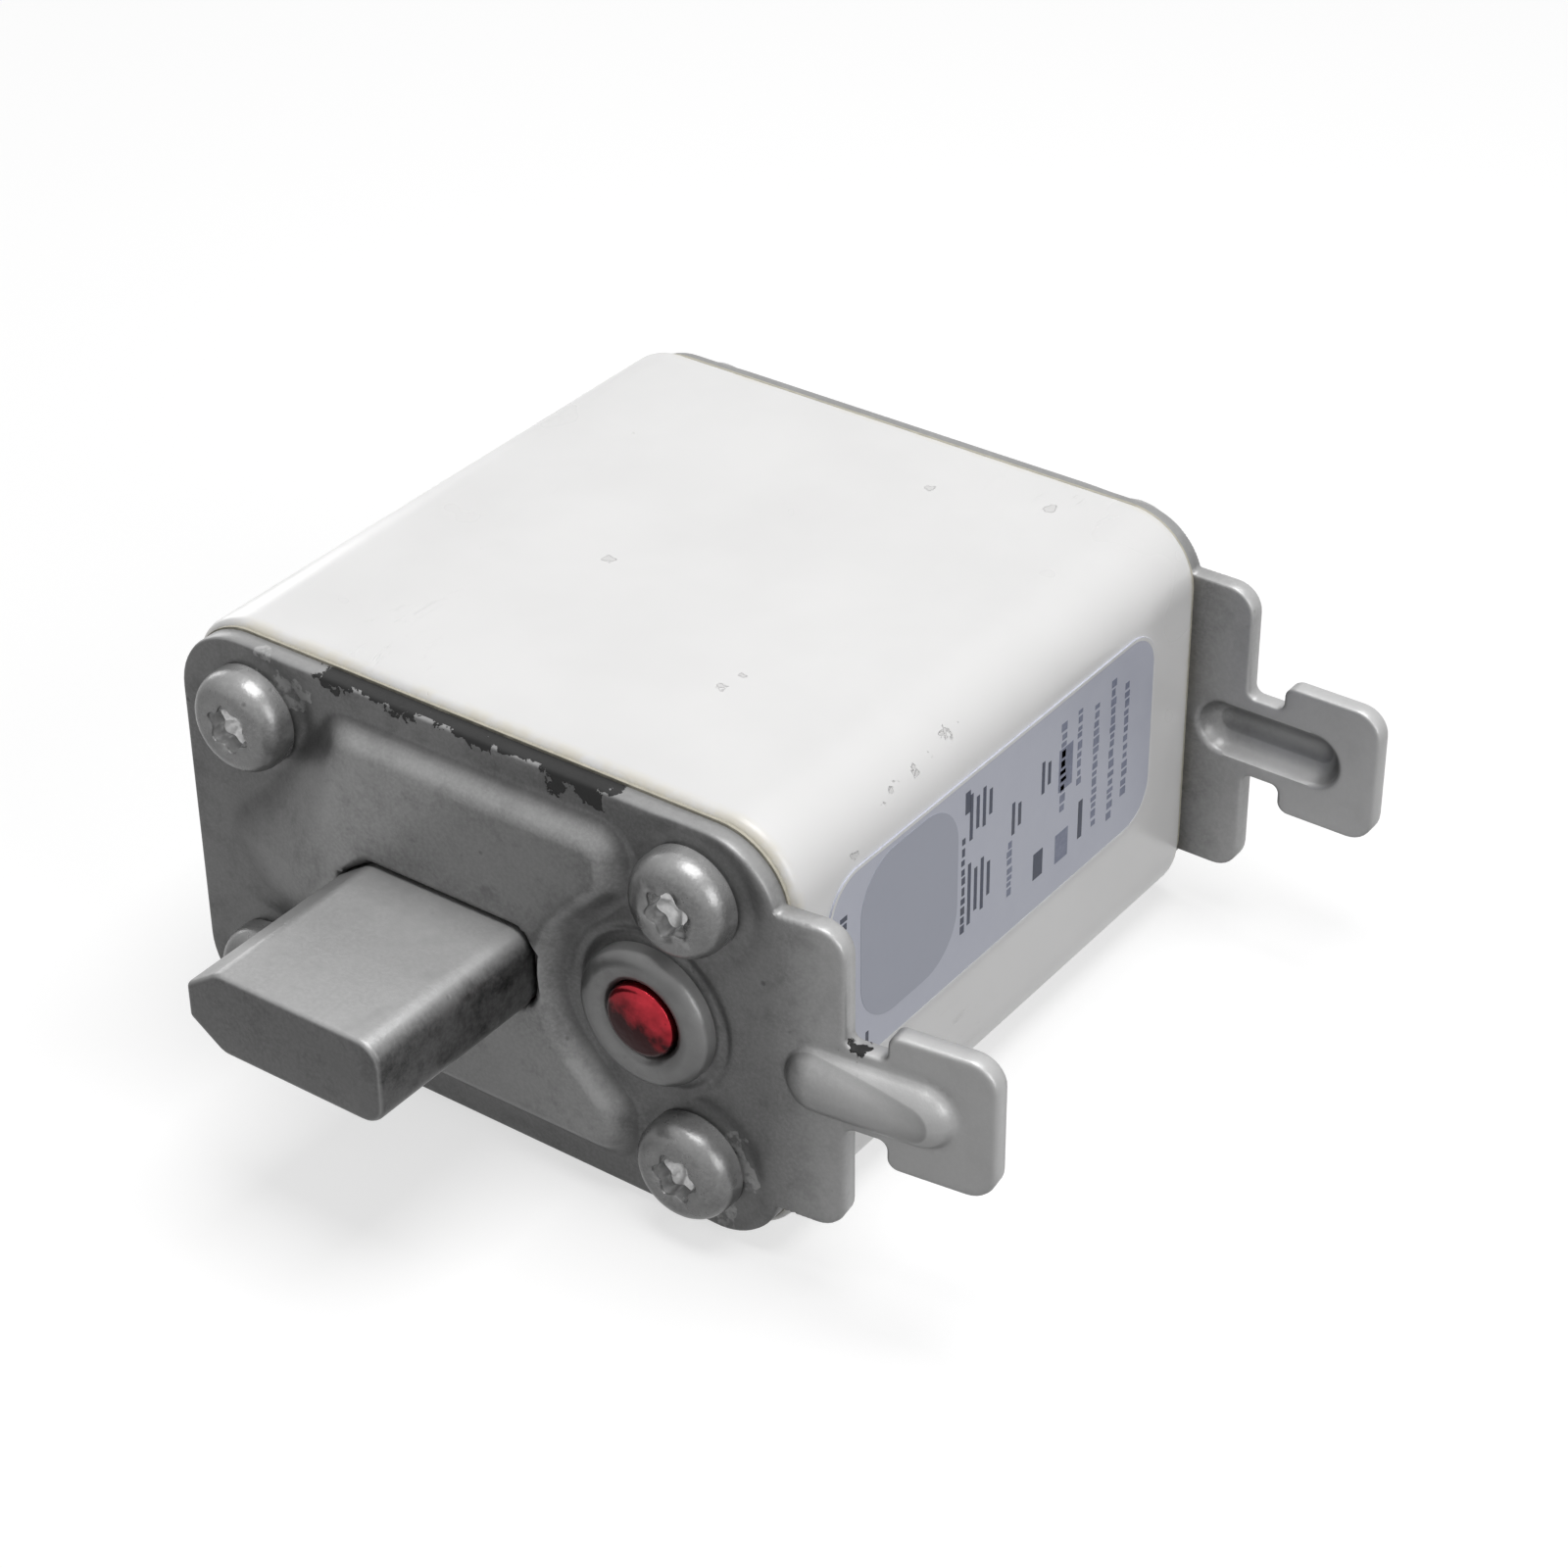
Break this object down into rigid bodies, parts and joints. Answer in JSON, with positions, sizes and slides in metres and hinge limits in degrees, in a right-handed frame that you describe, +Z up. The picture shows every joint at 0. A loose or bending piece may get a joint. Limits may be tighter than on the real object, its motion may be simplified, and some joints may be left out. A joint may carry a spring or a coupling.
{
  "type": "high-speed fuse",
  "caption": "Low-voltage high-speed fuse with a square ceramic body, stamped end plates with gripping lugs, knife blades and a blown-fuse indicator.",
  "frame": {"origin": "middle of the flat face of the ceramic body that the fuse lies on", "axes": "+X from the body to the gripping lugs, +Y along the fuse from the indicator end to the plain end, +Z up"},
  "size_m": [0.061, 0.0786, 0.03],
  "materials": {
    "ceramic": "glazed white steatite with small chips",
    "plate_steel": "matt tinned steel, stamped",
    "gasket": "dark fibre gasket",
    "blade_plating": "silver-plated copper, satin",
    "contact_copper": "plated copper",
    "silver_strip": "bright silver strip",
    "quartz_sand": "bound quartz sand",
    "screw_steel": "zinc-plated, satin",
    "housing_grey": "smooth grey",
    "button_red": "glossy red lacquer on metal",
    "spring_steel": "spring wire",
    "sleeve_ceramic": "matt",
    "wire_alloy": "drawn resistance wire",
    "plug_metal": "turned",
    "label_film": "printed film"
  },
  "bodies": {
    "fuse": {"ceramic_body": "ceramic", "indicator_end_plate": "plate_steel", "plain_end_plate": "plate_steel", "front_gasket": "gasket", "rear_gasket": "gasket", "front_blade": "blade_plating", "rear_blade": "blade_plating", "front_contact_plate": "contact_copper", "rear_contact_plate": "contact_copper", "fuse_element_1": "silver_strip", "fuse_element_2": "silver_strip", "fuse_element_3": "silver_strip", "fuse_element_4": "silver_strip", "sand_filling": "quartz_sand", "front_screws": "screw_steel", "rear_screws": "screw_steel", "indicator_housing": "housing_grey", "indicator_spring": "spring_steel", "wire_sleeve": "sleeve_ceramic", "trip_wire_strand": "wire_alloy", "filler_plug": "plug_metal", "rating_label": "label_film"},
    "indicator": {"indicator_button": "button_red"}
  },
  "joints": [
    {"name": "indicator_pop", "type": "slide", "parent": "fuse", "child": "indicator", "axis": [0, -1, 0], "range_m": [0, 0.0035], "deforming": ["indicator_spring"]}
  ]
}
